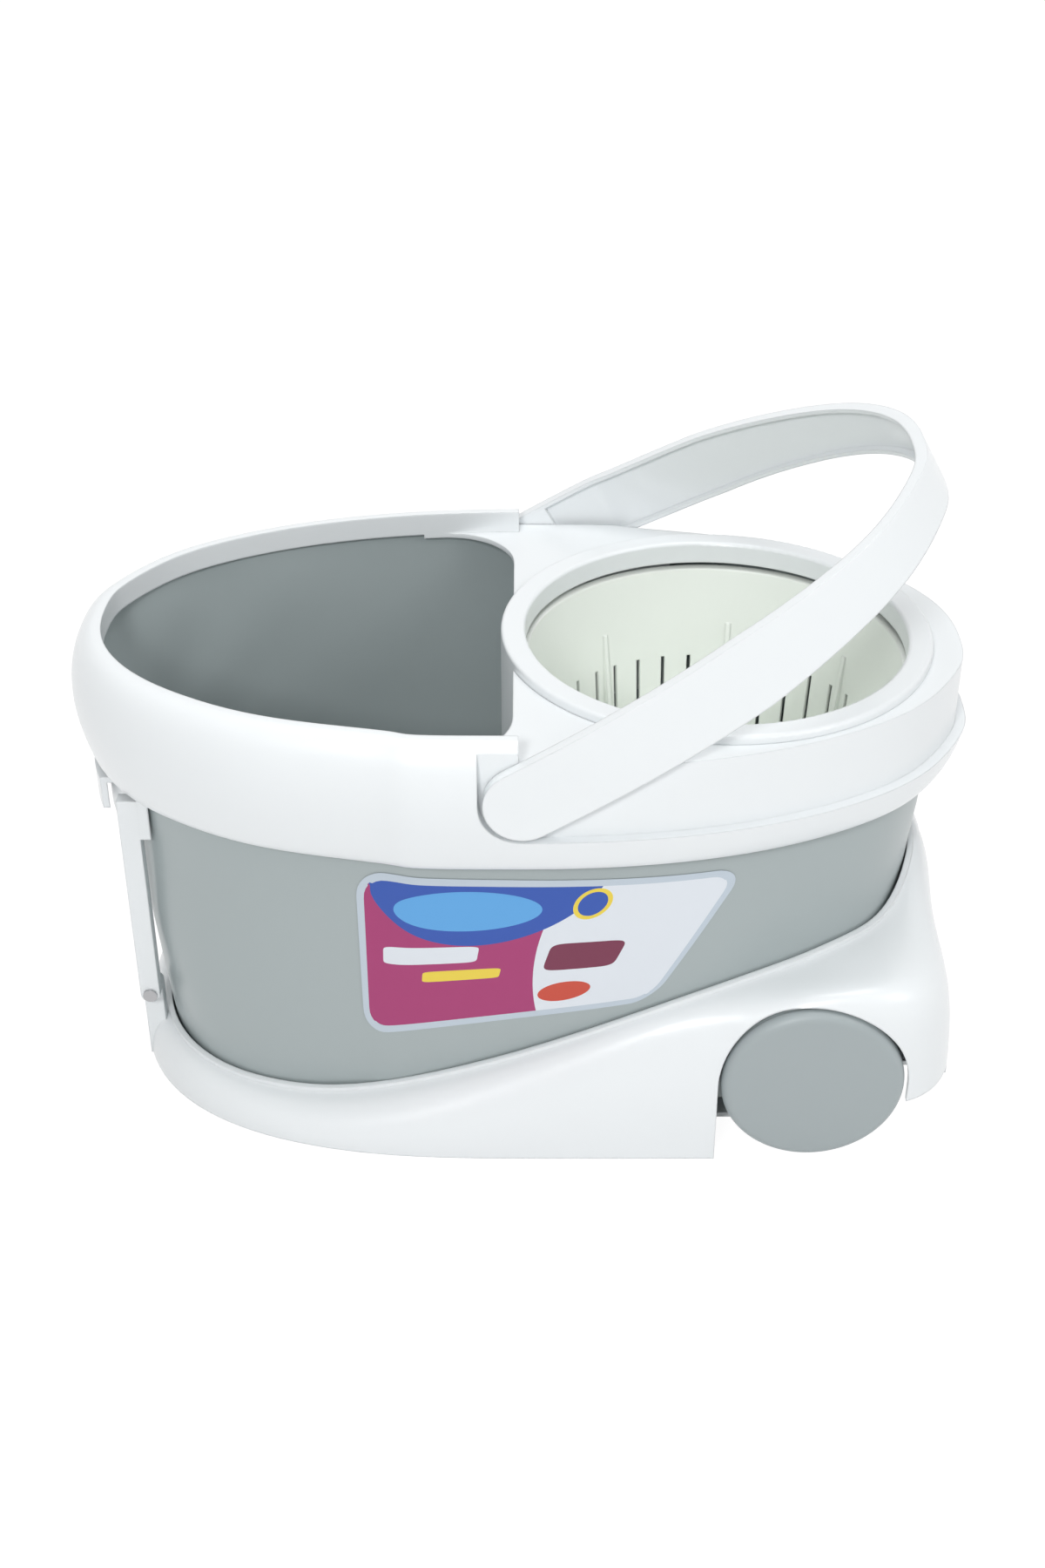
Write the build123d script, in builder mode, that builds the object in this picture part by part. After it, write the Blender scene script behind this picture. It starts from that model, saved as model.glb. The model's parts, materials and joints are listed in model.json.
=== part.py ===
"""Wheeled oval mop bucket with a spinning wringer basket, a carry bail and a tow lever.

Millimetres, +Z up. X runs from the tow lever (-X) to the wheels (+X), and the bucket is symmetric about
its XZ plane. The origin is on the floor, under the middle of the rim.
"""

import os
from math import copysign, cos, exp, pi, radians, sin, sqrt

from build123d import *

# Clearances
fit_gap = 0.3
skirt_gap = 1.2
lip_gap = 1.5
shaft_gap = 0.05
cut_margin = 5.0

# Tub
tub_wall = 2.5
tub_floor_z = 12.0
tub_floor_thickness = 3.0
tub_top_z = 256.0
tub_top_reach = 238.5
tub_top_half_width = 138.5
tub_foot_reach = 208.0
tub_foot_half_width = 121.0
tub_top_power = 2.15
tub_foot_power = 3.2
tub_power_share = 0.75
tub_step_x = 136.0
tub_step_z = 60.0
tub_boss_radius = 6.0
tub_boss_x = (-120.0, 0.0, 95.0)
tub_boss_y = 70.0

# Rim
rim_reach = 250.0
rim_half_width = 150.0
rim_bottom_z = 188.0
rim_bulge_z = 228.0
rim_top_z = 262.0
rim_skirt_tuck = 9.0
rim_crest_inset = 15.5
rim_wall = 3.0
rim_lip_thickness = 2.4
rim_lip_bottom_z = 248.5
rim_hollow_end_x = -60.0
crest_end_x = -2.0

# Deck and opening
deck_top_z = 249.0
deck_thickness = 3.0
opening_right_x = -5.0
opening_corner = 40.0

# Ledge and recess of the bail
bail_pivot_z = 231.0
bail_strap_width = 40.0
bail_strap_depth = 6.6
bail_wall = 2.6
bail_tip_width = 27.0
bail_taper_x = 130.0
bail_rest_angle = 30.0
bail_peg_radius = 7.0
bail_peg_reach = 1.2
bail_solid_end = 26.0
bail_face_inset = 0.8
recess_gap = 2.5
recess_depth_gap = 0.7

# Basket and collar
basket_x = 107.0
collar_lip_radius = 105.5
collar_outer_radius = 119.0
collar_top_z = 254.0
collar_lip_bottom_z = 241.0
collar_wall = 2.5
collar_edge_round = 2.0
sleeve_bottom_z = 150.0
sleeve_end_x = 89.5
deck_hole_radius = 114.0
basket_top_z = 237.4
basket_floor_z = 118.0
basket_top_radius = 106.0
basket_foot_radius = 97.0
basket_flange_radius = 110.0
basket_wall = 2.2
slot_width = 2.2
slot_bottom_z = 127.0
slot_top_z = 181.0
rib_count = 8
rib_start_angle = 34.5
rib_slot_offsets = (4.0, 13.25, 22.5, 31.75, 41.0)
rib_top_z = 203.0
rib_depth = 7.0
rib_thickness = 3.0
rib_tip_depth = 0.8

# Spindle
post_flange_radius = 25.0
post_flange_thickness = 4.0
post_foot_radius = 16.0
post_top_radius = 12.0
post_top_z = 100.0
post_screw_circle = 20.0
post_screw_count = 3
shaft_radius = 4.0
shaft_bottom_z = 45.0
washer_radius = 11.0
washer_thickness = 1.5
bush_radius = 7.0
hub_radius = 12.0
bush_top_z = 124.0
shaft_top_z = 125.5
shaft_chamfer = 1.0
bush_gap = 0.02
cap_top_z = 131.0
cap_radius = 16.0
seat_outer_radius = 44.0
seat_inner_radius = 20.0
seat_top_z = 132.0
seat_lug_count = 6
seat_lug_depth = 5.0
seat_lug_width = 6.0
seat_lug_top_z = 128.0
seat_round = 3.0

# Base
base_front_reach = 228.0
base_rear_reach = 242.0
base_half_width = 153.0
base_front_power = 2.65
base_rear_power = 9.0
base_wall = 3.0
base_floor_thickness = 3.0
bead_width = 3.2
bead_height = 2.6
edge_low_z = 19.5
edge_high_z = 109.0
edge_rise_start_x = -135.0
edge_rise_end_x = 190.0
edge_front_lift = 6.0
edge_front_lift_x = -150.0
edge_rear_lift = 10.0
edge_rear_lift_x = 190.0
shoulder_fullness = 0.56
shoulder_wheel_width = 1.05
shoulder_wheel_height = 1.3
shoulder_wheel_spread = 50.0
lobe_bottom_z = 38.0
rear_floor_z = 33.0
axle_wall_y = 112.0
axle_wall_end_x = 200.0
axle_boss_radius = 9.0

# Wheels
wheel_x = 158.5
wheel_radius = 50.0
wheel_inner_y = 120.5
wheel_face_y = 151.0
arch_gap = 2.0
cover_thickness = 7.0
cover_edge_round = 5.0
wheel_rim_thickness = 5.0
wheel_web_thickness = 5.0
wheel_hub_radius = 13.0
axle_radius = 4.0
wheel_bush_radius = 7.5
push_nut_radius = 7.0
push_nut_thickness = 2.0
axle_tail = 1.0
cover_clip_inset = 6.0
cover_clip_length = 5.0
cover_skin = 2.5

# Tow lever
lever_pivot_x = -215.5
lever_pivot_z = 50.0
lever_pin_radius = 2.5
lever_pin_head_radius = 4.0
lever_pin_head_thickness = 1.5
lug_radius = 5.5
lug_inner_y = 54.0
lug_outer_y = 61.5
arm_width = 8.0
arm_inner_x = -210.0
arm_outer_x = -221.0
arm_taper_z = 75.0
hoop_bottom_z = 158.0
hoop_top_z = 183.0
hoop_depth = 4.5
hoop_gap = 2.0
grip_half_width = 45.0
grip_reach = 243.0
grip_thickness = 3.5
grip_drop_z = 163.0

# Screws
screw_radius = 2.0
screw_head_radius = 4.0
screw_head_thickness = 1.8
screw_length = 11.0
post_screw_length = 13.0
screw_end_gap = 1.0

# Fineness of the curves
quarter_steps = 6
tub_sections = 5
rim_sections = 7
skirt_step_angle = 10

axle_z = wheel_radius
beyond = 2 * rim_reach
far_corner = (beyond, beyond, beyond)
deck_bottom_z = deck_top_z - deck_thickness
recess_inset = bail_face_inset + bail_strap_depth + recess_depth_gap
recess_wall_inset = recess_inset + rim_wall
recess_radius = bail_strap_width / 2 + recess_gap
ledge_z = bail_pivot_z - recess_radius
ledge_bottom_z = ledge_z - rim_wall
arm_inner_y = lug_outer_y + fit_gap
arm_outer_y = arm_inner_y + arm_width


def oval_point(angle, reach, half_width, power):
    """Point of the oval |x / reach|^power + |y / half_width|^power = 1."""
    along = round(cos(angle), 12)
    across = round(sin(angle), 12)
    x = reach * copysign(abs(along) ** (2 / power), along)
    y = half_width * copysign(abs(across) ** (2 / power), across)
    return x, y


def oval_quarter(quarter, reach, half_width, power):
    """Draw one quarter of an oval as a spline in the open line."""
    angles = [pi / 2 * (quarter + step / quarter_steps) for step in range(quarter_steps + 1)]
    points = [oval_point(angle, reach, half_width, power) for angle in angles]
    ends = [(-sin(angle), cos(angle)) for angle in (angles[0], angles[-1])]
    Spline(*points, tangents=ends)


def oval_face(z, reach, half_width, power, plane=Plane.XY):
    """Flat oval at height z over a plane, drawn as four quarter splines."""
    with BuildSketch(plane.offset(z)) as sketch:
        with BuildLine():
            for quarter in range(4):
                oval_quarter(quarter, reach, half_width, power)
        make_face()
    return sketch.sketch


def tub_oval(z, inset=0.0):
    """Reach, half width and power of the tub's outer wall at height z."""
    share = (z - tub_floor_z) / (tub_top_z - tub_floor_z)
    reach = tub_foot_reach + (tub_top_reach - tub_foot_reach) * share
    half_width = tub_foot_half_width + (tub_top_half_width - tub_foot_half_width) * share
    blend = min(1.0, share / tub_power_share)
    power = tub_foot_power + (tub_top_power - tub_foot_power) * blend**2 * (3 - 2 * blend)
    return reach - inset, half_width - inset, power


lip_outer_inset = rim_reach - tub_oval(rim_lip_bottom_z)[0] + tub_wall + lip_gap
lip_inner_inset = lip_outer_inset + rim_lip_thickness


def rim_oval(inset):
    """Oval that runs inside the rim's widest outline by the given inset."""
    return rim_reach - inset, rim_half_width - inset, tub_top_power


def rim_inset(z):
    """How far the rim's outer face lies inside its widest outline at height z."""
    if z < rim_bulge_z:
        return rim_skirt_tuck * ((rim_bulge_z - z) / (rim_bulge_z - rim_bottom_z)) ** 2
    rise = min(1.0, (z - rim_bulge_z) / (rim_top_z - rim_bulge_z))
    return rim_crest_inset * (1 - sqrt(1 - rise**2))


def rim_loft_faces(extra_inset, low_z, high_z):
    """Faces for the rim's outer form, crowded towards the rounded top."""
    shares = [sin(pi / 2 * step / rim_sections) for step in range(rim_sections + 1)]
    heights = [low_z + (high_z - low_z) * share for share in shares]
    return [oval_face(z, *rim_oval(rim_inset(z) + extra_inset)) for z in heights]


def edge_z(x):
    """Height of the base's upper edge: low at the lever, rising over the wheels."""
    share = (x - edge_rise_start_x) / (edge_rise_end_x - edge_rise_start_x)
    share = min(1.0, max(0.0, share))
    rise = (edge_high_z - edge_low_z) * share**2 * (3 - 2 * share)
    front = max(0.0, (edge_front_lift_x - x) / (tub_foot_reach + edge_front_lift_x))
    rear = max(0.0, (x - edge_rear_lift_x) / (tub_foot_reach - edge_rear_lift_x))
    return edge_low_z + rise + edge_front_lift * front**2 + edge_rear_lift * rear**2


def outside_base(x, y):
    """Above zero where a point of the floor lies outside the base's outline."""
    reach, power = (base_front_reach, base_front_power) if x < 0 else (base_rear_reach, base_rear_power)
    return abs(x / reach) ** power + abs(y / base_half_width) ** power - 1


def skirt_station(angle):
    """Where the base meets the tub at a station: point, outward direction, edge height and span."""
    height = edge_z(oval_point(angle, *tub_oval(tub_step_z))[0])
    reach, half_width, power = tub_oval(height + bead_height)
    x, y = oval_point(angle, reach, half_width, power)
    slope_x = copysign(abs(x / reach) ** (power - 1) / reach, x)
    slope_y = copysign(abs(y / half_width) ** (power - 1) / half_width, y)
    out = Vector(slope_x, slope_y, 0).normalized()
    foot = Vector(x, y, 0) + out * skirt_gap
    near, far = 0.0, base_half_width
    for _ in range(40):
        middle = (near + far) / 2
        point = foot + out * middle
        if outside_base(point.X, point.Y) < 0:
            near = middle
        else:
            far = middle
    return foot, out, height, near


def skirt_face(angle, wall, hollow):
    """Section of the base's skirt in a vertical plane; the hollow section runs inside the wall."""
    foot, out, height, span = skirt_station(angle)
    near_wheel = exp(-(((foot.X - wheel_x) / shoulder_wheel_spread) ** 2))
    width_pull = shoulder_fullness + (shoulder_wheel_width - shoulder_fullness) * near_wheel
    height_pull = shoulder_fullness + (shoulder_wheel_height - shoulder_fullness) * near_wheel
    start = -cut_margin if hollow else bead_width
    end = span - wall
    top = height - wall
    bead_top = height + bead_height
    with BuildSketch(Plane(origin=foot, x_dir=out, z_dir=Vector(out.Y, -out.X, 0))) as sketch:
        with BuildLine():
            shoulder = start + width_pull * (end - start)
            Bezier((start, top), (shoulder, top), (end, height_pull * top), (end, 0))
            if hollow:
                Polyline((end, 0), (end, -cut_margin), (start, -cut_margin), (start, top))
            else:
                Polyline((end, 0), (0, 0), (0, bead_top), (start, bead_top), (start, top))
        make_face()
    return sketch.sketch


def skirt_faces(wall, hollow):
    """Sections round the +Y half of the base, from past one end to past the other."""
    angles = range(-skirt_step_angle, 180 + skirt_step_angle + 1, skirt_step_angle)
    return [skirt_face(radians(angle), wall, hollow) for angle in angles]


def box_part(low, high):
    """Plain block between two corners, used as a cutter or a wall."""
    with BuildPart() as block:
        with BuildSketch(Plane.XY.offset(low[2])):
            with Locations(((low[0] + high[0]) / 2, (low[1] + high[1]) / 2)):
                Rectangle(high[0] - low[0], high[1] - low[1])
        extrude(amount=high[2] - low[2])
    return block.part


def base_face(z, inset):
    """The base's outline on the floor, drawn inside itself by an inset."""
    front = (base_front_reach - inset, base_half_width - inset, base_front_power)
    rear = (base_rear_reach - inset, base_half_width - inset, base_rear_power)
    with BuildSketch(Plane.XY.offset(z)) as sketch:
        with BuildLine():
            for quarter, form in enumerate((rear, front, front, rear)):
                oval_quarter(quarter, *form)
        make_face()
    return sketch.sketch


# Tub: tapered oval shell with a raised floor over the axle and blind screw bosses
inner_floor_z = tub_floor_z + tub_floor_thickness
tub_shares = [step / (tub_sections - 1) for step in range(tub_sections)]
tub_heights = [tub_floor_z + (tub_top_z - tub_floor_z) * share for share in tub_shares]
inner_heights = [inner_floor_z + (tub_top_z - inner_floor_z) * share for share in tub_shares]
post_screw_angle = 360 / post_screw_count
base_screw_places = [(x, side * tub_boss_y) for x in tub_boss_x for side in (-1, 1)]

with BuildPart() as tub_space:
    loft([oval_face(z, *tub_oval(z, tub_wall)) for z in inner_heights])
    step_low = (tub_step_x - tub_wall, -beyond, 0)
    add(box_part(step_low, (beyond, beyond, tub_step_z + tub_floor_thickness)), mode=Mode.SUBTRACT)

with BuildPart() as tub:
    loft([oval_face(z, *tub_oval(z)) for z in tub_heights])
    add(box_part((tub_step_x, -beyond, 0), (beyond, beyond, tub_step_z)), mode=Mode.SUBTRACT)
    add(box_part((rim_hollow_end_x, -beyond, deck_bottom_z), far_corner), mode=Mode.SUBTRACT)
    add(tub_space.part, mode=Mode.SUBTRACT)
    with BuildSketch(Plane.XY.offset(base_floor_thickness)):
        with Locations(*base_screw_places):
            Circle(tub_boss_radius)
        with Locations((basket_x, 0)):
            with PolarLocations(post_screw_circle, post_screw_count, post_screw_angle / 2):
                Circle(tub_boss_radius)
    extrude(amount=tub_floor_z - base_floor_thickness)
    with BuildSketch(Plane.XY.offset(base_floor_thickness)):
        with Locations(*base_screw_places):
            Circle(screw_radius)
    extrude(amount=screw_length + screw_end_gap - base_floor_thickness, mode=Mode.SUBTRACT)
    with BuildSketch(Plane.XY.offset(inner_floor_z)):
        with Locations((basket_x, 0)):
            with PolarLocations(post_screw_circle, post_screw_count, post_screw_angle / 2):
                Circle(screw_radius)
    extrude(amount=post_flange_thickness - post_screw_length - screw_end_gap, mode=Mode.SUBTRACT)

# Screws that hold the tub to the base, driven from below
with BuildPart() as tub_screws:
    with BuildSketch():
        with Locations(*base_screw_places):
            Circle(screw_head_radius)
    extrude(amount=screw_head_thickness)
    with BuildSketch(Plane.XY.offset(screw_head_thickness)):
        with Locations(*base_screw_places):
            Circle(screw_radius - shaft_gap)
    extrude(amount=screw_length - screw_head_thickness)

# Base: skirt that hugs the tub, flat floor, wheel arches, axle walls and lever lugs
riser_x = tub_step_x + fit_gap
riser_end_x = riser_x + base_wall
arch_radius = wheel_radius + arch_gap
arch_front_x = wheel_x - arch_radius
well_y = wheel_inner_y - arch_gap
far_y = base_half_width + cut_margin

with BuildPart() as skirt_form:
    loft(skirt_faces(0.0, False))
    split(bisect_by=Plane.XZ, keep=Keep.BOTTOM)

with BuildPart() as well_front_wall:
    add(skirt_form.part)
    wall_low = (arch_front_x - base_wall, axle_wall_y, 0)
    add(box_part(wall_low, (arch_front_x, far_y, edge_high_z)), mode=Mode.INTERSECT)

with BuildPart() as base_floor:
    extrude(base_face(0, base_wall / 2), amount=base_floor_thickness)
    floor_low = (-base_front_reach, -far_y, 0)
    add(box_part(floor_low, (riser_end_x, far_y, base_floor_thickness)), mode=Mode.INTERSECT)

with BuildPart() as rear_floor:
    extrude(base_face(rear_floor_z, base_wall / 2), amount=base_wall)
    rear_low = (riser_x, -axle_wall_y, rear_floor_z)
    add(box_part(rear_low, (base_rear_reach, axle_wall_y, rear_floor_z + base_wall)), mode=Mode.INTERSECT)

with BuildPart() as base_shell:
    add(skirt_form.part)
    loft(skirt_faces(base_wall, True), mode=Mode.SUBTRACT)
    add(well_front_wall.part)
    mirror(about=Plane.XZ)
    add(base_floor.part)
    add(rear_floor.part)
    add(box_part((riser_x, -axle_wall_y, 0), (riser_end_x, axle_wall_y, tub_step_z)))
    for side in (-1, 1):
        wall_plane = Plane(origin=(wheel_x, side * axle_wall_y, axle_z), x_dir=(1, 0, 0), z_dir=(0, side, 0))
        near_y, wall_y = sorted((side * axle_wall_y, side * (axle_wall_y - base_wall)))
        add(box_part((riser_x, near_y, rear_floor_z), (axle_wall_end_x, wall_y, tub_step_z)))
        with BuildSketch(wall_plane):
            Circle(axle_boss_radius)
        extrude(amount=wheel_inner_y - axle_wall_y - fit_gap)
        with BuildSketch(Plane.XZ.offset(-side * lug_outer_y)):
            with Locations((lever_pivot_x, lever_pivot_z)):
                Circle(lug_radius)
            with Locations((lever_pivot_x, lever_pivot_z / 2)):
                Rectangle(2 * lug_radius, lever_pivot_z)
        extrude(amount=side * (lug_outer_y - lug_inner_y))
        arch_low, arch_high = sorted((side * well_y, side * far_y))
        with BuildSketch(Plane.XZ.offset(-arch_high)):
            with Locations((wheel_x, axle_z)):
                Circle(arch_radius)
            with Locations((wheel_x, axle_z / 2)):
                Rectangle(2 * arch_radius, axle_z)
        extrude(amount=arch_high - arch_low, mode=Mode.SUBTRACT)
        rear_cut = box_part((wheel_x, arch_low, 0), (base_rear_reach + cut_margin, arch_high, lobe_bottom_z))
        add(rear_cut, mode=Mode.SUBTRACT)
    rear_cut_low = (riser_end_x, -well_y, 0)
    add(box_part(rear_cut_low, (base_rear_reach + cut_margin, well_y, rear_floor_z)), mode=Mode.SUBTRACT)
    with BuildSketch(Plane.XZ):
        with Locations((wheel_x, axle_z)):
            Circle(axle_radius + shaft_gap)
        with Locations((lever_pivot_x, lever_pivot_z)):
            Circle(lever_pin_radius + shaft_gap)
    extrude(amount=base_half_width, both=True, mode=Mode.SUBTRACT)
    with BuildSketch():
        with Locations(*base_screw_places):
            Circle(screw_head_radius + fit_gap)
    extrude(amount=screw_head_thickness, mode=Mode.SUBTRACT)
    with BuildSketch():
        with Locations(*base_screw_places):
            Circle(screw_radius + fit_gap)
    extrude(amount=base_floor_thickness, mode=Mode.SUBTRACT)

# Recess in the rim: the space that the bail needs when it lies folded or stands upright
with BuildPart() as recess:
    with BuildSketch(Plane.XZ):
        with BuildLine():
            high_z = rim_top_z + cut_margin
            far_x = rim_reach + cut_margin
            Line((-recess_radius, high_z), (-recess_radius, bail_pivot_z))
            RadiusArc((-recess_radius, bail_pivot_z), (0, ledge_z), -recess_radius)
            Polyline((0, ledge_z), (far_x, ledge_z), (far_x, high_z), (-recess_radius, high_z))
        make_face()
    extrude(amount=rim_half_width + cut_margin, both=True)
    extrude(oval_face(rim_bottom_z, *rim_oval(recess_inset)), amount=rim_top_z, mode=Mode.SUBTRACT)

# Hollow under the crest, on the lever side only
with BuildPart() as crest_hollow:
    loft(rim_loft_faces(rim_wall, rim_bottom_z, tub_top_z))
    add(box_part((rim_hollow_end_x, -beyond, 0), far_corner), mode=Mode.SUBTRACT)

# Inner lip that reaches down inside the tub
with BuildPart() as inner_lip:
    extrude(oval_face(rim_lip_bottom_z, *rim_oval(lip_outer_inset)), amount=tub_top_z - rim_lip_bottom_z)
    add(box_part((rim_hollow_end_x, -beyond, 0), far_corner), mode=Mode.SUBTRACT)

# Open mouth of the tub, with rounded corners at the deck
with BuildPart() as mouth:
    with BuildSketch(Plane.XY.offset(rim_bottom_z)) as mouth_outline:
        add(oval_face(0, *rim_oval(lip_inner_inset)))
        with Locations((opening_right_x - rim_reach, 0)):
            Rectangle(2 * rim_reach, 2 * rim_half_width, mode=Mode.INTERSECT)
        fillet(mouth_outline.vertices().group_by(Axis.X)[-1], opening_corner)
    extrude(amount=rim_top_z)

# Hole of the deck: a wide notch for the sleeve and a full round for the basket
with BuildPart() as deck_hole:
    with BuildSketch(Plane.XY.offset(deck_bottom_z)):
        with Locations((basket_x, 0)):
            Circle(collar_outer_radius + fit_gap)
        with Locations((sleeve_end_x + fit_gap - rim_reach, 0)):
            Rectangle(2 * rim_reach, 2 * rim_half_width, mode=Mode.INTERSECT)
        with Locations((basket_x, 0)):
            Circle(deck_hole_radius)
    extrude(amount=deck_thickness)

# Rim: hollow crest round the mouth, deck over the basket and ledge for the bail
with BuildPart() as top_rim:
    loft(rim_loft_faces(0.0, rim_bottom_z, rim_top_z))
    add(box_part((crest_end_x, -beyond, deck_top_z), far_corner), mode=Mode.SUBTRACT)
    extrude(oval_face(deck_top_z, *rim_oval(lip_inner_inset)), amount=rim_top_z, mode=Mode.SUBTRACT)
    loft(rim_loft_faces(rim_wall, rim_bottom_z, ledge_bottom_z), mode=Mode.SUBTRACT)
    wall_prism = oval_face(rim_bottom_z, *rim_oval(recess_wall_inset))
    extrude(wall_prism, amount=deck_bottom_z - rim_bottom_z, mode=Mode.SUBTRACT)
    add(crest_hollow.part, mode=Mode.SUBTRACT)
    add(inner_lip.part)
    add(mouth.part, mode=Mode.SUBTRACT)
    add(deck_hole.part, mode=Mode.SUBTRACT)
    add(recess.part, mode=Mode.SUBTRACT)
    with BuildSketch(Plane.XZ):
        with Locations((0, bail_pivot_z)):
            Circle(bail_peg_radius + shaft_gap)
    extrude(amount=rim_half_width, both=True, mode=Mode.SUBTRACT)

# Splash collar: hollow ring on the deck with a sleeve that hangs into the mouth
collar_axis = Axis((basket_x, 0, 0), (0, 0, 1))
with BuildPart() as splash_collar:
    with BuildSketch(Plane.XZ) as ring_section:
        with Locations((basket_x, deck_top_z)):
            Polygon(
                (collar_lip_radius, collar_lip_bottom_z - deck_top_z),
                (collar_lip_radius, collar_top_z - deck_top_z),
                (collar_outer_radius, collar_top_z - deck_top_z),
                (collar_outer_radius, 0),
                (deck_hole_radius - fit_gap, 0),
                (deck_hole_radius - fit_gap, -deck_thickness),
                (deck_hole_radius - fit_gap - collar_wall, -deck_thickness),
                (deck_hole_radius - fit_gap - collar_wall, collar_top_z - deck_top_z - collar_wall),
                (collar_lip_radius + collar_wall, collar_top_z - deck_top_z - collar_wall),
                (collar_lip_radius + collar_wall, collar_lip_bottom_z - deck_top_z),
                align=None,
            )
        fillet(ring_section.vertices().group_by(Axis.Y)[-1], collar_edge_round)
    revolve(axis=collar_axis)
    with BuildSketch(Plane.XY.offset(sleeve_bottom_z)):
        with Locations((basket_x, 0)):
            Circle(collar_outer_radius)
            Circle(collar_outer_radius - collar_wall, mode=Mode.SUBTRACT)
        with Locations((sleeve_end_x - rim_reach, 0)):
            Rectangle(2 * rim_reach, 2 * rim_half_width, mode=Mode.INTERSECT)
    extrude(amount=deck_top_z - sleeve_bottom_z)

# Spindle post with its flange on the tub floor
with BuildPart() as spindle_post:
    with BuildSketch(Plane.XY.offset(inner_floor_z)):
        with Locations((basket_x, 0)):
            Circle(post_flange_radius)
            with PolarLocations(post_screw_circle, post_screw_count, post_screw_angle / 2):
                Circle(screw_radius + fit_gap, mode=Mode.SUBTRACT)
    extrude(amount=post_flange_thickness)
    with BuildSketch(Plane.XZ):
        with BuildLine():
            Polyline(
                (basket_x, inner_floor_z),
                (basket_x + post_foot_radius, inner_floor_z),
                (basket_x + post_foot_radius, inner_floor_z + post_flange_thickness),
                (basket_x + post_top_radius, post_top_z),
                (basket_x, post_top_z),
                close=True,
            )
        make_face()
    revolve(axis=collar_axis)
    with BuildSketch(Plane.XY.offset(shaft_bottom_z)):
        with Locations((basket_x, 0)):
            Circle(shaft_radius + shaft_gap)
    extrude(amount=post_top_z - shaft_bottom_z, mode=Mode.SUBTRACT)

# Screws through the post's flange
flange_top_z = inner_floor_z + post_flange_thickness
with BuildPart() as post_screws:
    with BuildSketch(Plane.XY.offset(flange_top_z)):
        with Locations((basket_x, 0)):
            with PolarLocations(post_screw_circle, post_screw_count, post_screw_angle / 2):
                Circle(screw_head_radius)
    extrude(amount=screw_head_thickness)
    with BuildSketch(Plane.XY.offset(flange_top_z)):
        with Locations((basket_x, 0)):
            with PolarLocations(post_screw_circle, post_screw_count, post_screw_angle / 2):
                Circle(screw_radius - shaft_gap)
    extrude(amount=-post_screw_length)

# Shaft of the spindle
with BuildPart() as spindle_shaft:
    with BuildSketch(Plane.XY.offset(shaft_bottom_z)):
        with Locations((basket_x, 0)):
            Circle(shaft_radius)
    extrude(amount=shaft_top_z - shaft_bottom_z)
    chamfer(spindle_shaft.edges().group_by(Axis.Z)[-1], shaft_chamfer)

# Slip washer on top of the post
with BuildPart() as thrust_washer:
    with BuildSketch(Plane.XY.offset(post_top_z)):
        with Locations((basket_x, 0)):
            Circle(washer_radius)
            Circle(shaft_radius + shaft_gap, mode=Mode.SUBTRACT)
    extrude(amount=washer_thickness)

# Basket: slotted tapered wall, flange, floor, hub and inner ribs
hub_bottom_z = post_top_z + washer_thickness + fit_gap
basket_inner_floor_z = basket_floor_z + basket_wall


def basket_radius(z):
    """Outer radius of the basket's wall at height z."""
    share = (z - basket_floor_z) / (basket_top_z - basket_floor_z)
    return basket_foot_radius + (basket_top_radius - basket_foot_radius) * share


with BuildPart() as basket_rib:
    with BuildSketch(Plane.XZ):
        rib_low_radius = basket_radius(basket_floor_z) - basket_wall / 2
        with BuildLine():
            Polyline(
                (rib_low_radius, basket_floor_z + basket_wall / 2),
                (basket_radius(rib_top_z) - basket_wall / 2, rib_top_z),
                (basket_radius(rib_top_z) - basket_wall - rib_tip_depth, rib_top_z),
                (rib_low_radius - rib_depth, basket_floor_z + basket_wall / 2),
                close=True,
            )
        make_face()
    extrude(amount=rib_thickness / 2, both=True)

with BuildPart() as slot_cutter:
    for offset in rib_slot_offsets:
        with BuildSketch(Plane.XY.offset(slot_bottom_z)):
            with PolarLocations(basket_top_radius, rib_count, rib_start_angle + offset):
                SlotOverall(4 * rib_depth, slot_width)
        extrude(amount=slot_top_z - slot_bottom_z)

with BuildPart() as spin_basket:
    with BuildSketch(Plane.XZ):
        with BuildLine():
            Polyline(
                (basket_x + bush_radius, hub_bottom_z),
                (basket_x + hub_radius, hub_bottom_z),
                (basket_x + hub_radius, basket_floor_z),
                (basket_x + basket_foot_radius, basket_floor_z),
                (basket_x + basket_top_radius, basket_top_z - basket_wall),
                (basket_x + basket_flange_radius, basket_top_z - basket_wall),
                (basket_x + basket_flange_radius, basket_top_z),
                (basket_x + basket_top_radius - basket_wall, basket_top_z),
                (basket_x + basket_foot_radius - basket_wall, basket_inner_floor_z),
                (basket_x + bush_radius, basket_inner_floor_z),
                close=True,
            )
        make_face()
    revolve(axis=collar_axis)
    with Locations((basket_x, 0, 0)):
        add(slot_cutter.part, mode=Mode.SUBTRACT)
        with PolarLocations(0, rib_count, rib_start_angle):
            add(basket_rib.part)

# Bearing pressed into the basket's hub
with BuildPart() as basket_bush:
    with BuildSketch(Plane.XY.offset(hub_bottom_z)):
        with Locations((basket_x, 0)):
            Circle(bush_radius - bush_gap)
            Circle(shaft_radius + shaft_gap, mode=Mode.SUBTRACT)
    extrude(amount=bush_top_z - hub_bottom_z)

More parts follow.
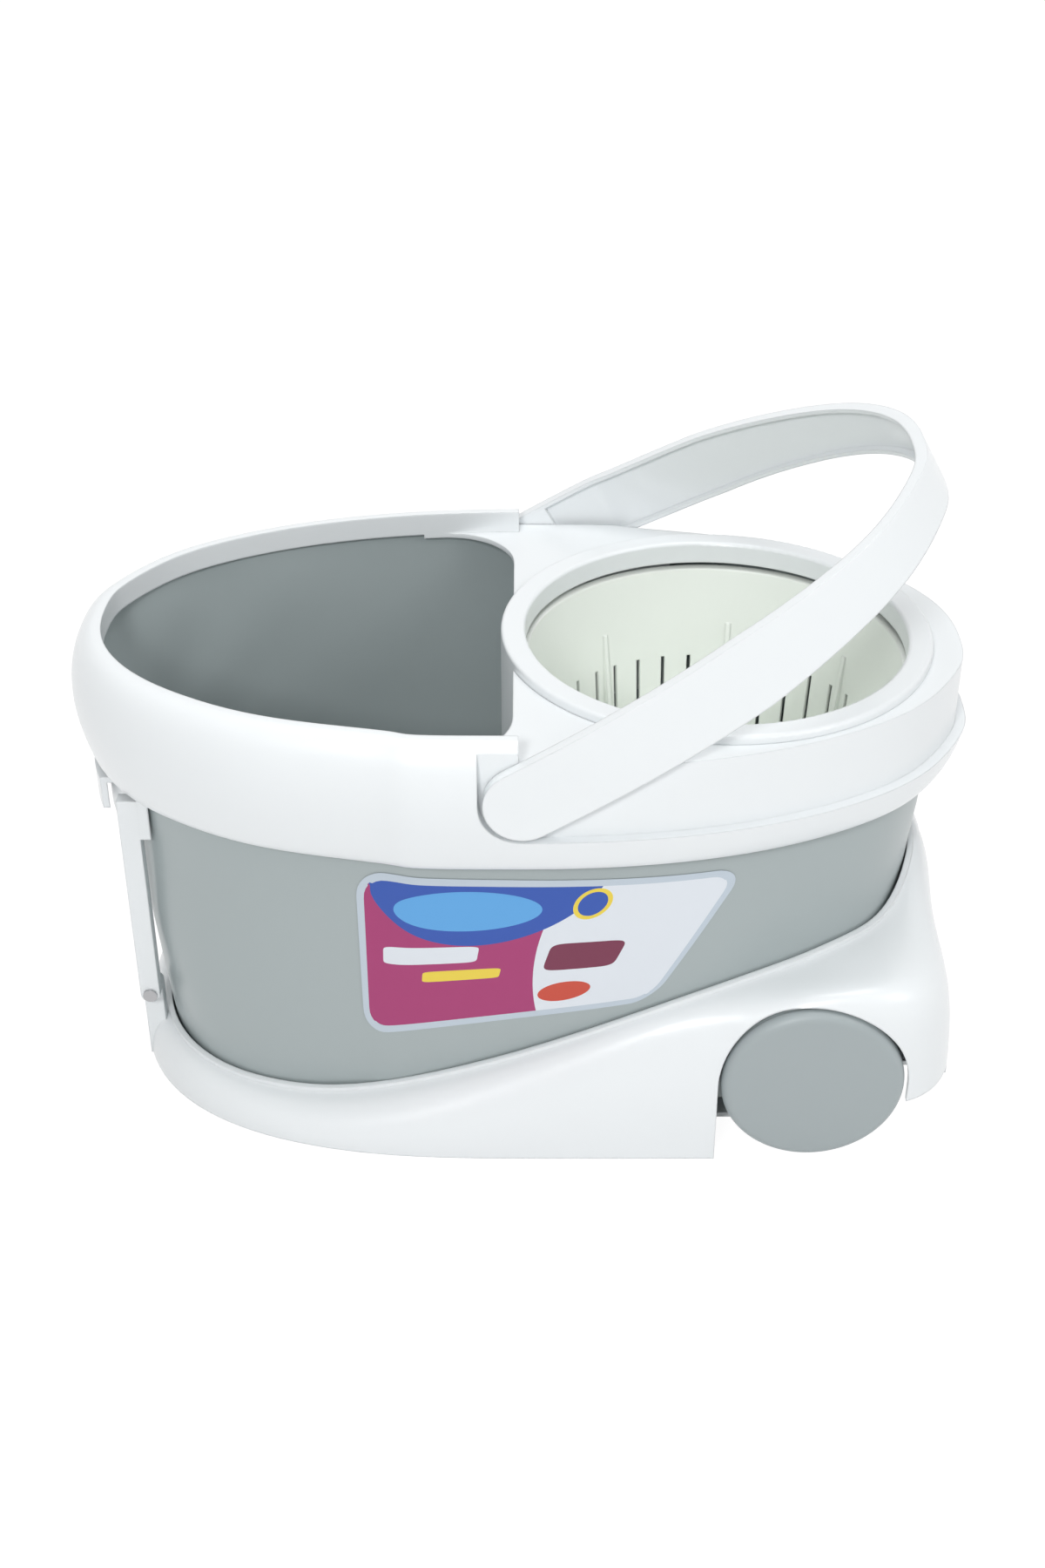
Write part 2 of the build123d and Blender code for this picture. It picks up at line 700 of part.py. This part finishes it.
# Raised seat with lugs that turn with the mop head
with BuildPart() as mop_seat:
    with BuildSketch(Plane.XY.offset(basket_inner_floor_z)):
        with Locations((basket_x, 0)):
            Circle(seat_outer_radius)
            Circle(seat_inner_radius, mode=Mode.SUBTRACT)
    extrude(amount=seat_top_z - basket_inner_floor_z)
    fillet(mop_seat.edges().group_by(Axis.Z)[-1], seat_round)
    with BuildSketch(Plane.XY.offset(basket_inner_floor_z)):
        with Locations((basket_x, 0)):
            with PolarLocations(seat_outer_radius, seat_lug_count):
                Rectangle(2 * seat_lug_depth, seat_lug_width)
    extrude(amount=seat_lug_top_z - basket_inner_floor_z)

# Cap over the end of the shaft
with BuildPart() as hub_cap:
    with BuildSketch(Plane.XY.offset(basket_inner_floor_z)):
        with Locations((basket_x, 0)):
            Circle(cap_radius)
    extrude(amount=cap_top_z - basket_inner_floor_z)
    fillet(hub_cap.edges().group_by(Axis.Z)[-1], seat_round)
    with BuildSketch(Plane.XY.offset(basket_inner_floor_z)):
        with Locations((basket_x, 0)):
            Circle(bush_radius + fit_gap)
    extrude(amount=cap_top_z - basket_inner_floor_z - basket_wall, mode=Mode.SUBTRACT)

# Carry bail: hollow strap round the rim's end, shown swung up by its rest angle
bail_turn = radians(bail_rest_angle)
bail_plane = Plane(
    origin=(0, 0, bail_pivot_z),
    x_dir=(cos(bail_turn), 0, sin(bail_turn)),
    z_dir=(-sin(bail_turn), 0, cos(bail_turn)),
)
bail_side_plane = Plane(origin=(0, 0, bail_pivot_z), x_dir=bail_plane.x_dir, z_dir=(0, -1, 0))
half_strap = bail_strap_width / 2


def strap_profile(start_x, wall):
    """Corners of the strap seen from the side: even at the pivot, narrower towards its middle."""
    upper = [
        (start_x, half_strap - wall),
        (bail_taper_x, half_strap - wall),
        (rim_reach, bail_tip_width / 2 - wall),
    ]
    return upper + [(x, -z) for x, z in reversed(upper)]


with BuildPart() as strap_outline:
    with BuildSketch(bail_side_plane):
        Circle(half_strap)
        Polygon(*strap_profile(0, 0), align=None)
    extrude(amount=rim_half_width, both=True)

with BuildPart() as strap_hollow:
    hollow_form = rim_oval(bail_face_inset + bail_wall)
    extrude(oval_face(-half_strap, *hollow_form, bail_plane), amount=bail_strap_width)
    with BuildSketch(bail_side_plane):
        Polygon(*strap_profile(bail_solid_end, bail_wall), align=None)
    extrude(amount=rim_half_width, both=True, mode=Mode.INTERSECT)

with BuildPart() as bail_strap:
    extrude(oval_face(-half_strap, *rim_oval(bail_face_inset), bail_plane), amount=bail_strap_width)
    strap_inner = rim_oval(bail_face_inset + bail_strap_depth)
    extrude(oval_face(-half_strap, *strap_inner, bail_plane), amount=bail_strap_width, mode=Mode.SUBTRACT)
    add(strap_outline.part, mode=Mode.INTERSECT)
    add(strap_hollow.part, mode=Mode.SUBTRACT)
    peg_end = rim_half_width - recess_wall_inset - bail_peg_reach
    peg_start = rim_half_width - bail_face_inset - bail_strap_depth / 2
    for side in (-1, 1):
        with BuildSketch(Plane.XZ.offset(side * peg_end)):
            with Locations((0, bail_pivot_z)):
                Circle(bail_peg_radius)
        extrude(amount=side * (peg_start - peg_end))

# Tow lever: hoop under the rim with two arms and a downturned finger lip
lever_form = tub_oval(hoop_top_z)
hoop_forms = [
    (lever_form[0] + growth, lever_form[1] + growth, lever_form[2])
    for growth in (hoop_gap, hoop_gap + hoop_depth)
]
grip_growth = grip_reach - lever_form[0]
grip_forms = [
    (lever_form[0] + growth, lever_form[1] + growth, lever_form[2])
    for growth in (grip_growth - grip_thickness, grip_growth)
]
with BuildPart() as grip:
    extrude(oval_face(grip_drop_z, *grip_forms[1]), amount=hoop_top_z - grip_drop_z)
    extrude(
        oval_face(grip_drop_z, *grip_forms[0]),
        amount=hoop_top_z - grip_thickness - grip_drop_z,
        mode=Mode.SUBTRACT,
    )
    extrude(oval_face(grip_drop_z, *hoop_forms[0]), amount=hoop_top_z - grip_drop_z, mode=Mode.SUBTRACT)
    grip_low = (-rim_reach, -grip_half_width, grip_drop_z)
    add(box_part(grip_low, (0, grip_half_width, hoop_top_z)), mode=Mode.INTERSECT)

with BuildPart() as tow_lever:
    extrude(oval_face(hoop_bottom_z, *hoop_forms[1]), amount=hoop_top_z - hoop_bottom_z)
    extrude(oval_face(hoop_bottom_z, *hoop_forms[0]), amount=hoop_top_z - hoop_bottom_z, mode=Mode.SUBTRACT)
    hoop_low = (-rim_reach, -arm_outer_y, hoop_bottom_z)
    add(box_part(hoop_low, (0, arm_outer_y, hoop_top_z)), mode=Mode.INTERSECT)
    add(grip.part)
    for side in (-1, 1):
        with BuildSketch(Plane.XZ.offset(-side * arm_outer_y)):
            with Locations((lever_pivot_x, lever_pivot_z)):
                Circle(lug_radius)
            with BuildLine():
                Polyline(
                    (lever_pivot_x + lug_radius, lever_pivot_z),
                    (arm_inner_x, arm_taper_z),
                    (arm_inner_x, hoop_top_z),
                    (arm_outer_x, hoop_top_z),
                    (arm_outer_x, arm_taper_z),
                    (lever_pivot_x - lug_radius, lever_pivot_z),
                    close=True,
                )
            make_face()
        extrude(amount=side * arm_width)
    with BuildSketch(Plane.XZ):
        with Locations((lever_pivot_x, lever_pivot_z)):
            Circle(lever_pin_radius + shaft_gap)
    extrude(amount=rim_half_width, both=True, mode=Mode.SUBTRACT)

# Hinge pins of the lever, with heads outside the arms
with BuildPart() as tow_pins:
    for side in (-1, 1):
        head_y = arm_outer_y + fit_gap
        with BuildSketch(Plane.XZ.offset(-side * lug_inner_y)):
            with Locations((lever_pivot_x, lever_pivot_z)):
                Circle(lever_pin_radius)
        extrude(amount=-side * (head_y - lug_inner_y))
        with BuildSketch(Plane.XZ.offset(-side * head_y)):
            with Locations((lever_pivot_x, lever_pivot_z)):
                Circle(lever_pin_head_radius)
        extrude(amount=-side * lever_pin_head_thickness)

# Axle and the nuts pushed onto its ends
cover_inner_d = wheel_face_y - wheel_inner_y - cover_thickness
hub_length = cover_inner_d - push_nut_thickness
nut_y = wheel_inner_y + hub_length + fit_gap
axle_end_y = nut_y + push_nut_thickness + axle_tail
with BuildPart() as wheel_axle:
    with BuildSketch(Plane.XZ):
        with Locations((wheel_x, axle_z)):
            Circle(axle_radius)
    extrude(amount=axle_end_y, both=True)

with BuildPart() as axle_push_nuts:
    for side in (-1, 1):
        with BuildSketch(Plane.XZ.offset(-side * nut_y)):
            with Locations((wheel_x, axle_z)):
                Circle(push_nut_radius)
                Circle(axle_radius + shaft_gap, mode=Mode.SUBTRACT)
        extrude(amount=-side * push_nut_thickness)


def wheel_plane(side, depth):
    """Plane square to the axle, at a depth from the wheel's inner side, facing outwards."""
    place = (wheel_x, side * (wheel_inner_y + depth), axle_z)
    return Plane(origin=place, x_dir=(1, 0, 0), z_dir=(0, side, 0))


def wheel_body(side):
    """Wheel with its tread, web, hub and bush seat."""
    with BuildPart() as body:
        with BuildSketch(wheel_plane(side, 0)):
            Circle(wheel_radius)
            Circle(wheel_radius - wheel_rim_thickness, mode=Mode.SUBTRACT)
        extrude(amount=cover_inner_d)
        with BuildSketch(wheel_plane(side, (cover_inner_d - wheel_web_thickness) / 2)):
            Circle(wheel_radius - wheel_rim_thickness / 2)
        extrude(amount=wheel_web_thickness)
        with BuildSketch(wheel_plane(side, 0)):
            Circle(wheel_hub_radius)
        extrude(amount=hub_length)
        with BuildSketch(wheel_plane(side, 0)):
            Circle(wheel_bush_radius)
        extrude(amount=cover_inner_d, mode=Mode.SUBTRACT)
    return body.part


def wheel_cover(side):
    """Smooth disc that closes the wheel's outer side and clips inside its tread."""
    with BuildPart() as cover:
        with BuildSketch(wheel_plane(side, cover_inner_d)):
            Circle(wheel_radius)
        extrude(amount=cover_thickness)
        outer_edge = cover.edges().group_by(Axis.Y)[-1 if side > 0 else 0]
        fillet(outer_edge, cover_edge_round)
        with BuildSketch(wheel_plane(side, cover_inner_d)):
            Circle(wheel_radius - cover_clip_inset)
        extrude(amount=cover_thickness - cover_skin, mode=Mode.SUBTRACT)
        with BuildSketch(wheel_plane(side, cover_inner_d - cover_clip_length)):
            Circle(wheel_radius - wheel_rim_thickness - shaft_gap)
            Circle(wheel_radius - wheel_rim_thickness - shaft_gap - cover_skin, mode=Mode.SUBTRACT)
        extrude(amount=cover_clip_length + cover_thickness - cover_skin)
    return cover.part


def wheel_bush(side):
    """Plain bearing between wheel and axle."""
    with BuildPart() as bush:
        with BuildSketch(wheel_plane(side, 0)):
            Circle(wheel_bush_radius - bush_gap)
            Circle(axle_radius + shaft_gap, mode=Mode.SUBTRACT)
        extrude(amount=hub_length)
    return bush.part


pieces = {
    "base_shell": base_shell.part,
    "tub": tub.part,
    "tub_screws": tub_screws.part,
    "top_rim": top_rim.part,
    "splash_collar": splash_collar.part,
    "spindle_post": spindle_post.part,
    "post_screws": post_screws.part,
    "spindle_shaft": spindle_shaft.part,
    "thrust_washer": thrust_washer.part,
    "wheel_axle": wheel_axle.part,
    "axle_push_nuts": axle_push_nuts.part,
    "tow_pins": tow_pins.part,
    "spin_basket": spin_basket.part,
    "mop_seat": mop_seat.part,
    "basket_bush": basket_bush.part,
    "hub_cap": hub_cap.part,
    "bail_strap": bail_strap.part,
    "tow_lever": tow_lever.part,
}
for side_name, side in (("front", -1), ("back", 1)):
    pieces[f"wheel_{side_name}"] = wheel_body(side)
    pieces[f"wheel_cover_{side_name}"] = wheel_cover(side)
    pieces[f"wheel_bush_{side_name}"] = wheel_bush(side)

os.makedirs("parts", exist_ok=True)
for name, piece in pieces.items():
    piece.label = name
    export_step(piece, f"parts/{name}.step")
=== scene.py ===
"""Looks of the wheeled mop bucket: materials, sticker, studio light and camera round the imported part."""

import json
import math

import bpy
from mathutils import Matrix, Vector


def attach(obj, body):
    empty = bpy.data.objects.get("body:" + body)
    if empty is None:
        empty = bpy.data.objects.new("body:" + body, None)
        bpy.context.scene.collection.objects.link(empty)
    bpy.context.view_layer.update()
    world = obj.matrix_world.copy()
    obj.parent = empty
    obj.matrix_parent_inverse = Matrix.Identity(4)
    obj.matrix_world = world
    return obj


# Camera
CAMERA_PLACE = (0.0, -0.970, 0.768)
CAMERA_TILT = 57.5
CAMERA_LENS = 45.4
CAMERA_SENSOR = 36.0

# Plastics by the record's slots: name, colour as linear light, roughness, coat, subsurface share
PLASTICS = {
    "white_plastic": ("white_gloss", (0.80, 0.83, 0.845), 0.28, 0.25, 0.05),
    "grey_plastic": ("tub_grey", (0.365, 0.415, 0.42), 0.34, 0.15, 0.0),
    "wheel_plastic": ("wheel_grey", (0.355, 0.40, 0.41), 0.42, 0.0, 0.0),
    "basket_plastic": ("basket_cream", (0.88, 0.92, 0.87), 0.32, 0.15, 0.08),
    "bearing_plastic": ("bearing", (0.60, 0.60, 0.57), 0.5, 0.0, 0.0),
}
COAT_ROUGHNESS = 0.12
SUBSURFACE_SCALE = 0.004
EDGE_ROUND = 0.0015
EDGE_SAMPLES = 6

# Metals by the record's slots: name, colour as linear light, roughness
METALS = {"steel": ("pin_steel", (0.45, 0.45, 0.46), 0.35)}

# Sticker on the tub's front: corners as x and z from the top left, clockwise, in metres
STICKER_CORNERS = ((-0.0875, 0.177), (0.118, 0.174), (0.070, 0.090), (-0.087, 0.065))
STICKER_LIFT = 0.0004
STICKER_COLUMNS = 60
STICKER_ROWS = 30
STICKER_ROUGHNESS = 0.3
RAY_START_Y = -1.0

# Corner rounds as a share of the sticker's height, and the border's width across and up
STICKER_ROUND = 0.16
STICKER_EDGE = (0.020, 0.045)

# Colours of the print
STICKER_BORDER = (0.50, 0.57, 0.64)
STICKER_FIELD = (0.36, 0.03, 0.15)
STICKER_BLUE = (0.02, 0.08, 0.40)
STICKER_SKY = (0.10, 0.36, 0.72)
STICKER_PALE = (0.70, 0.74, 0.79)
STICKER_YELLOW = (0.78, 0.60, 0.06)
STICKER_RED = (0.55, 0.06, 0.03)
STICKER_MAROON = (0.17, 0.02, 0.06)

# Patches of the print, lowest first: colour, middle, half sizes, power (2 for an oval, more for a bar)
STICKER_PATCHES = (
    (STICKER_PALE, (1.05, 0.60), (0.53, 1.10), 2.0),
    (STICKER_BLUE, (0.33, 1.02), (0.31, 0.46), 2.0),
    (STICKER_SKY, (0.30, 0.79), (0.20, 0.13), 2.0),
    (STICKER_YELLOW, (0.31, 0.36), (0.12, 0.035), 8.0),
    (STICKER_PALE, (0.21, 0.50), (0.14, 0.055), 8.0),
    (STICKER_YELLOW, (0.63, 0.83), (0.05, 0.11), 2.0),
    (STICKER_BLUE, (0.63, 0.83), (0.038, 0.085), 2.0),
    (STICKER_MAROON, (0.67, 0.45), (0.11, 0.10), 6.0),
    (STICKER_RED, (0.66, 0.18), (0.085, 0.075), 2.0),
)

# Floor: half its side in metres, colours for bounced light and for sight, glow in sight
FLOOR_REACH = 8.0
FLOOR_PALE = (0.80, 0.80, 0.80)
FLOOR_SEEN = (0.12, 0.12, 0.12)
FLOOR_GLOW = 0.95
FLOOR_ROUGHNESS = 0.9

# World light, and the lamps: name, place, point aimed at, size in metres, watts
WORLD_LIGHT = 0.46
LAMPS = (
    ("key", (-0.45, -1.7, 1.4), (0.0, 0.0, 0.15), 0.4, 17.5),
    ("fill", (1.5, -0.8, 1.3), (0.1, 0.0, 0.15), 1.0, 8.5),
    ("top", (0.1, 0.2, 2.0), (0.0, 0.0, 0.2), 1.0, 12.5),
)

PURE_WHITE = (1.0, 1.0, 1.0, 1.0)


def socket(shader, name, value):
    """Set one constant of a shader."""
    shader.inputs[name].default_value = value


def painted(name):
    """New material with its node tree and main shader."""
    material = bpy.data.materials.new(name)
    material.use_nodes = True
    return material, material.node_tree, material.node_tree.nodes["Principled BSDF"]


def plastic(name, colour, roughness, coat, subsurface):
    """Moulded plastic with softened edges."""
    material, tree, shader = painted(name)
    socket(shader, "Base Color", (*colour, 1.0))
    socket(shader, "Roughness", roughness)
    socket(shader, "Coat Weight", coat)
    socket(shader, "Coat Roughness", COAT_ROUGHNESS)
    socket(shader, "Subsurface Weight", subsurface)
    socket(shader, "Subsurface Scale", SUBSURFACE_SCALE)
    socket(shader, "Subsurface Radius", (1.0, 1.0, 1.0))
    bevel = tree.nodes.new("ShaderNodeBevel")
    bevel.samples = EDGE_SAMPLES
    socket(bevel, "Radius", EDGE_ROUND)
    tree.links.new(bevel.outputs["Normal"], shader.inputs["Normal"])
    return material


def metal(name, colour, roughness):
    """Plain bright metal."""
    material, _, shader = painted(name)
    socket(shader, "Base Color", (*colour, 1.0))
    socket(shader, "Metallic", 1.0)
    socket(shader, "Roughness", roughness)
    return material


def maths(tree, kind, first, second=0.0):
    """Node for one sum; each input is a number or a socket."""
    node = tree.nodes.new("ShaderNodeMath")
    node.operation = kind
    for place, value in zip(node.inputs, (first, second)):
        if isinstance(value, (int, float)):
            place.default_value = value
        else:
            tree.links.new(value, place)
    return node.outputs["Value"]


def distance(tree, place, middle):
    """How far a place lies from the middle, on one axis of the print."""
    return maths(tree, "ABSOLUTE", maths(tree, "SUBTRACT", place, middle))


def layer(tree, under, over, share):
    """Lay one colour over another by a share; each colour is a socket or a tuple."""
    node = tree.nodes.new("ShaderNodeMix")
    node.data_type = "RGBA"
    tree.links.new(share, node.inputs["Factor"])
    for place, value in ((node.inputs["A"], under), (node.inputs["B"], over)):
        if isinstance(value, tuple):
            place.default_value = (*value, 1.0)
        else:
            tree.links.new(value, place)
    return node.outputs["Result"]


def patch_share(tree, places, middle, half_sizes, power):
    """One inside a patch of the print, zero outside it."""
    spans = []
    for place, centre, half_size in zip(places, middle, half_sizes):
        off = distance(tree, place, centre)
        spans.append(maths(tree, "POWER", maths(tree, "DIVIDE", off, half_size), power))
    return maths(tree, "LESS_THAN", maths(tree, "ADD", *spans), 1.0)


def sticker_finish():
    """Printed film: plain patches of colour in a pale border, with no lettering."""
    material, tree, shader = painted("sticker_print")
    socket(shader, "Roughness", STICKER_ROUGHNESS)
    split = tree.nodes.new("ShaderNodeSeparateXYZ")
    tree.links.new(tree.nodes.new("ShaderNodeUVMap").outputs["UV"], split.inputs["Vector"])
    places = split.outputs["X"], split.outputs["Y"]
    colour = STICKER_FIELD
    for patch_colour, middle, half_sizes, power in STICKER_PATCHES:
        colour = layer(tree, colour, patch_colour, patch_share(tree, places, middle, half_sizes, power))
    for place, edge in zip(places, STICKER_EDGE):
        outside = maths(tree, "GREATER_THAN", distance(tree, place, 0.5), 0.5 - edge)
        colour = layer(tree, colour, STICKER_BORDER, outside)
    tree.links.new(colour, shader.inputs["Base Color"])
    return material


def rounded(across, up):
    """Pull the sticker's four corners in to quarter rounds."""
    aspect = STICKER_COLUMNS / STICKER_ROWS
    x, y = (across - 0.5) * aspect, up - 0.5
    limit_x, limit_y = 0.5 * aspect - STICKER_ROUND, 0.5 - STICKER_ROUND
    over_x, over_y = max(0.0, abs(x) - limit_x), max(0.0, abs(y) - limit_y)
    reach = math.hypot(over_x, over_y)
    most = max(over_x, over_y)
    if reach > 0:
        x = math.copysign(min(abs(x), limit_x) + over_x * most / reach, x)
        y = math.copysign(min(abs(y), limit_y) + over_y * most / reach, y)
    return x / aspect + 0.5, y + 0.5


def sticker_point(tub, across, up):
    """Point just off the tub's front wall for a place on the sticker, both from 0 to 1."""
    top_left, top_right, low_right, low_left = (Vector((x, 0.0, z)) for x, z in STICKER_CORNERS)
    low = low_left.lerp(low_right, across)
    high = top_left.lerp(top_right, across)
    flat = low.lerp(high, up)
    start = Vector((flat.x, RAY_START_Y, flat.z))
    hit, place, normal, _ = tub.ray_cast(start, Vector((0.0, 1.0, 0.0)))
    if not hit:
        raise ValueError("the sticker misses the tub")
    return place + normal * STICKER_LIFT


def placed(name, data):
    """New object in the scene."""
    thing = bpy.data.objects.new(name, data)
    bpy.context.scene.collection.objects.link(thing)
    return thing


def seen_share(tree):
    """One for the rays that show the background: straight, in gloss or through clear matter."""
    path = tree.nodes.new("ShaderNodeLightPath")
    straight = maths(tree, "MAXIMUM", path.outputs["Is Camera Ray"], path.outputs["Is Glossy Ray"])
    return maths(tree, "MAXIMUM", straight, path.outputs["Is Transmission Ray"])


def soft_lamp(name, place, aim, size, power):
    """Square area lamp at a place, turned towards a point."""
    data = bpy.data.lights.new(name, "AREA")
    data.size = size
    data.energy = power
    lamp = placed(name, data)
    lamp.location = place
    lamp.rotation_euler = (Vector(aim) - Vector(place)).to_track_quat("-Z", "Y").to_euler()


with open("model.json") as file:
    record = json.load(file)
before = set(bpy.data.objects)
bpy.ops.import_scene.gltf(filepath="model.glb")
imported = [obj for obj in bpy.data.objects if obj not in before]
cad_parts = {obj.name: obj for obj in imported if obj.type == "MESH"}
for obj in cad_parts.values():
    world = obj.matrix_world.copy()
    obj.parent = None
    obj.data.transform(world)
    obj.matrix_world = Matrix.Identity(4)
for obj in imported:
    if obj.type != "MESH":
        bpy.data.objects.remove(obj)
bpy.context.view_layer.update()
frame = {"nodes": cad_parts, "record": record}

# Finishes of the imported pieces
finishes = {slot: plastic(*values) for slot, values in PLASTICS.items()}
finishes.update({slot: metal(*values) for slot, values in METALS.items()})
for entry in frame["record"]["subparts"]:
    mesh = frame["nodes"][entry["node"]].data
    mesh.materials.clear()
    mesh.materials.append(finishes[entry["material_slot"]])

# Sticker, a grid of faces that follows the tub's front wall
columns, rows = STICKER_COLUMNS + 1, STICKER_ROWS + 1
grid = [(column / STICKER_COLUMNS, row / STICKER_ROWS) for row in range(rows) for column in range(columns)]
sticker_points = [sticker_point(frame["nodes"]["tub"], *rounded(*place)) for place in grid]
sticker_faces = [
    (start, start + 1, start + columns + 1, start + columns)
    for row in range(STICKER_ROWS)
    for start in range(row * columns, row * columns + STICKER_COLUMNS)
]
sticker_mesh = bpy.data.meshes.new("sticker")
sticker_mesh.from_pydata(sticker_points, [], sticker_faces)
sticker_map = sticker_mesh.uv_layers.new(name="sticker")
for loop in sticker_mesh.loops:
    sticker_map.data[loop.index].uv = grid[loop.vertex_index]
for polygon in sticker_mesh.polygons:
    polygon.use_smooth = True
sticker_mesh.materials.append(sticker_finish())
sticker = placed("sticker", sticker_mesh)
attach(sticker, "chassis")

# Floor, white to sight but only pale in the light that it gives back
floor_points = [(x * FLOOR_REACH, y * FLOOR_REACH, 0.0) for x, y in ((-1, -1), (1, -1), (1, 1), (-1, 1))]
floor_mesh = bpy.data.meshes.new("floor")
floor_mesh.from_pydata(floor_points, [], [(0, 1, 2, 3)])
floor_paint, floor_tree, floor_shader = painted("floor_paint")
floor_seen = seen_share(floor_tree)
floor_colour = layer(floor_tree, FLOOR_PALE, FLOOR_SEEN, floor_seen)
floor_glow = maths(floor_tree, "MULTIPLY", floor_seen, FLOOR_GLOW)
floor_tree.links.new(floor_colour, floor_shader.inputs["Base Color"])
floor_tree.links.new(floor_glow, floor_shader.inputs["Emission Strength"])
socket(floor_shader, "Emission Color", PURE_WHITE)
socket(floor_shader, "Roughness", FLOOR_ROUGHNESS)
floor_mesh.materials.append(floor_paint)
floor = placed("floor", floor_mesh)

# World, white to sight and dimmer as light
world = bpy.data.worlds.new("studio")
world.use_nodes = True
world_tree = world.node_tree
background = world_tree.nodes["Background"]
world_white = maths(world_tree, "MULTIPLY", seen_share(world_tree), 1.0 - WORLD_LIGHT)
world_strength = maths(world_tree, "ADD", world_white, WORLD_LIGHT)
world_tree.links.new(world_strength, background.inputs["Strength"])
socket(background, "Color", PURE_WHITE)
bpy.context.scene.world = world

for lamp_values in LAMPS:
    soft_lamp(*lamp_values)

# Camera at the photograph's place
camera_data = bpy.data.cameras.new("camera")
camera_data.lens = CAMERA_LENS
camera_data.sensor_width = CAMERA_SENSOR
camera = placed("camera", camera_data)
camera.location = CAMERA_PLACE
camera.rotation_euler = (math.radians(CAMERA_TILT), 0.0, 0.0)
bpy.context.scene.camera = camera
bpy.context.scene.view_settings.view_transform = "Standard"
